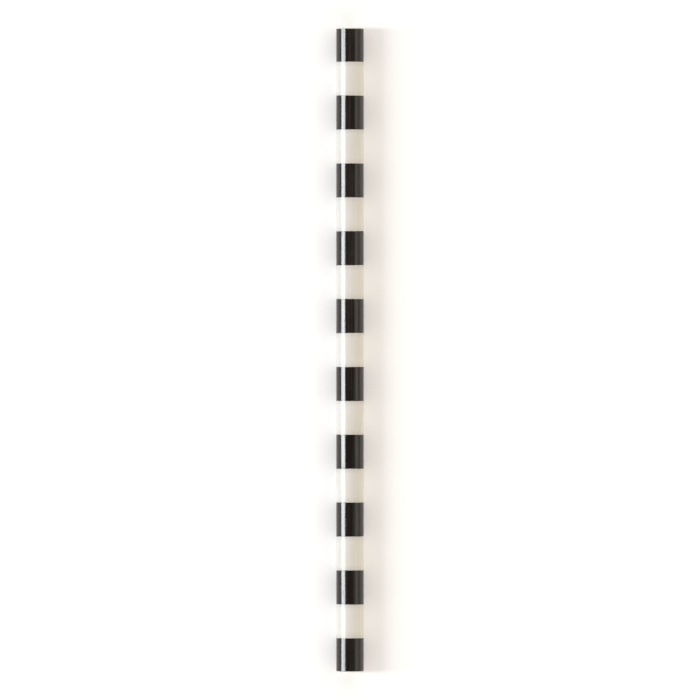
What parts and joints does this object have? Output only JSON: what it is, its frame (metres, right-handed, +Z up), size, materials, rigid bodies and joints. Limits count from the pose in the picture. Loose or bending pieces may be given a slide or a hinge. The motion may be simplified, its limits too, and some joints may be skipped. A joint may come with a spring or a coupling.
{
  "type": "reusable drinking straw",
  "caption": "Straight rigid drinking straw: a milky plastic tube, open at both rounded ends, with wide black printed bands round it.",
  "frame": {"origin": "on the surface that the straw lies on, under the middle of its length", "axes": "+Y along the straw, +X across it, +Z up"},
  "size_m": [0.008, 0.186, 0.008],
  "materials": {
    "milky_plastic": "smooth semi-gloss translucent ivory plastic with fine drawing lines",
    "black_print": "glossy warm black transfer print"
  },
  "bodies": {
    "root": {"tube": "milky_plastic", "printed_bands": "black_print"}
  },
  "joints": []
}
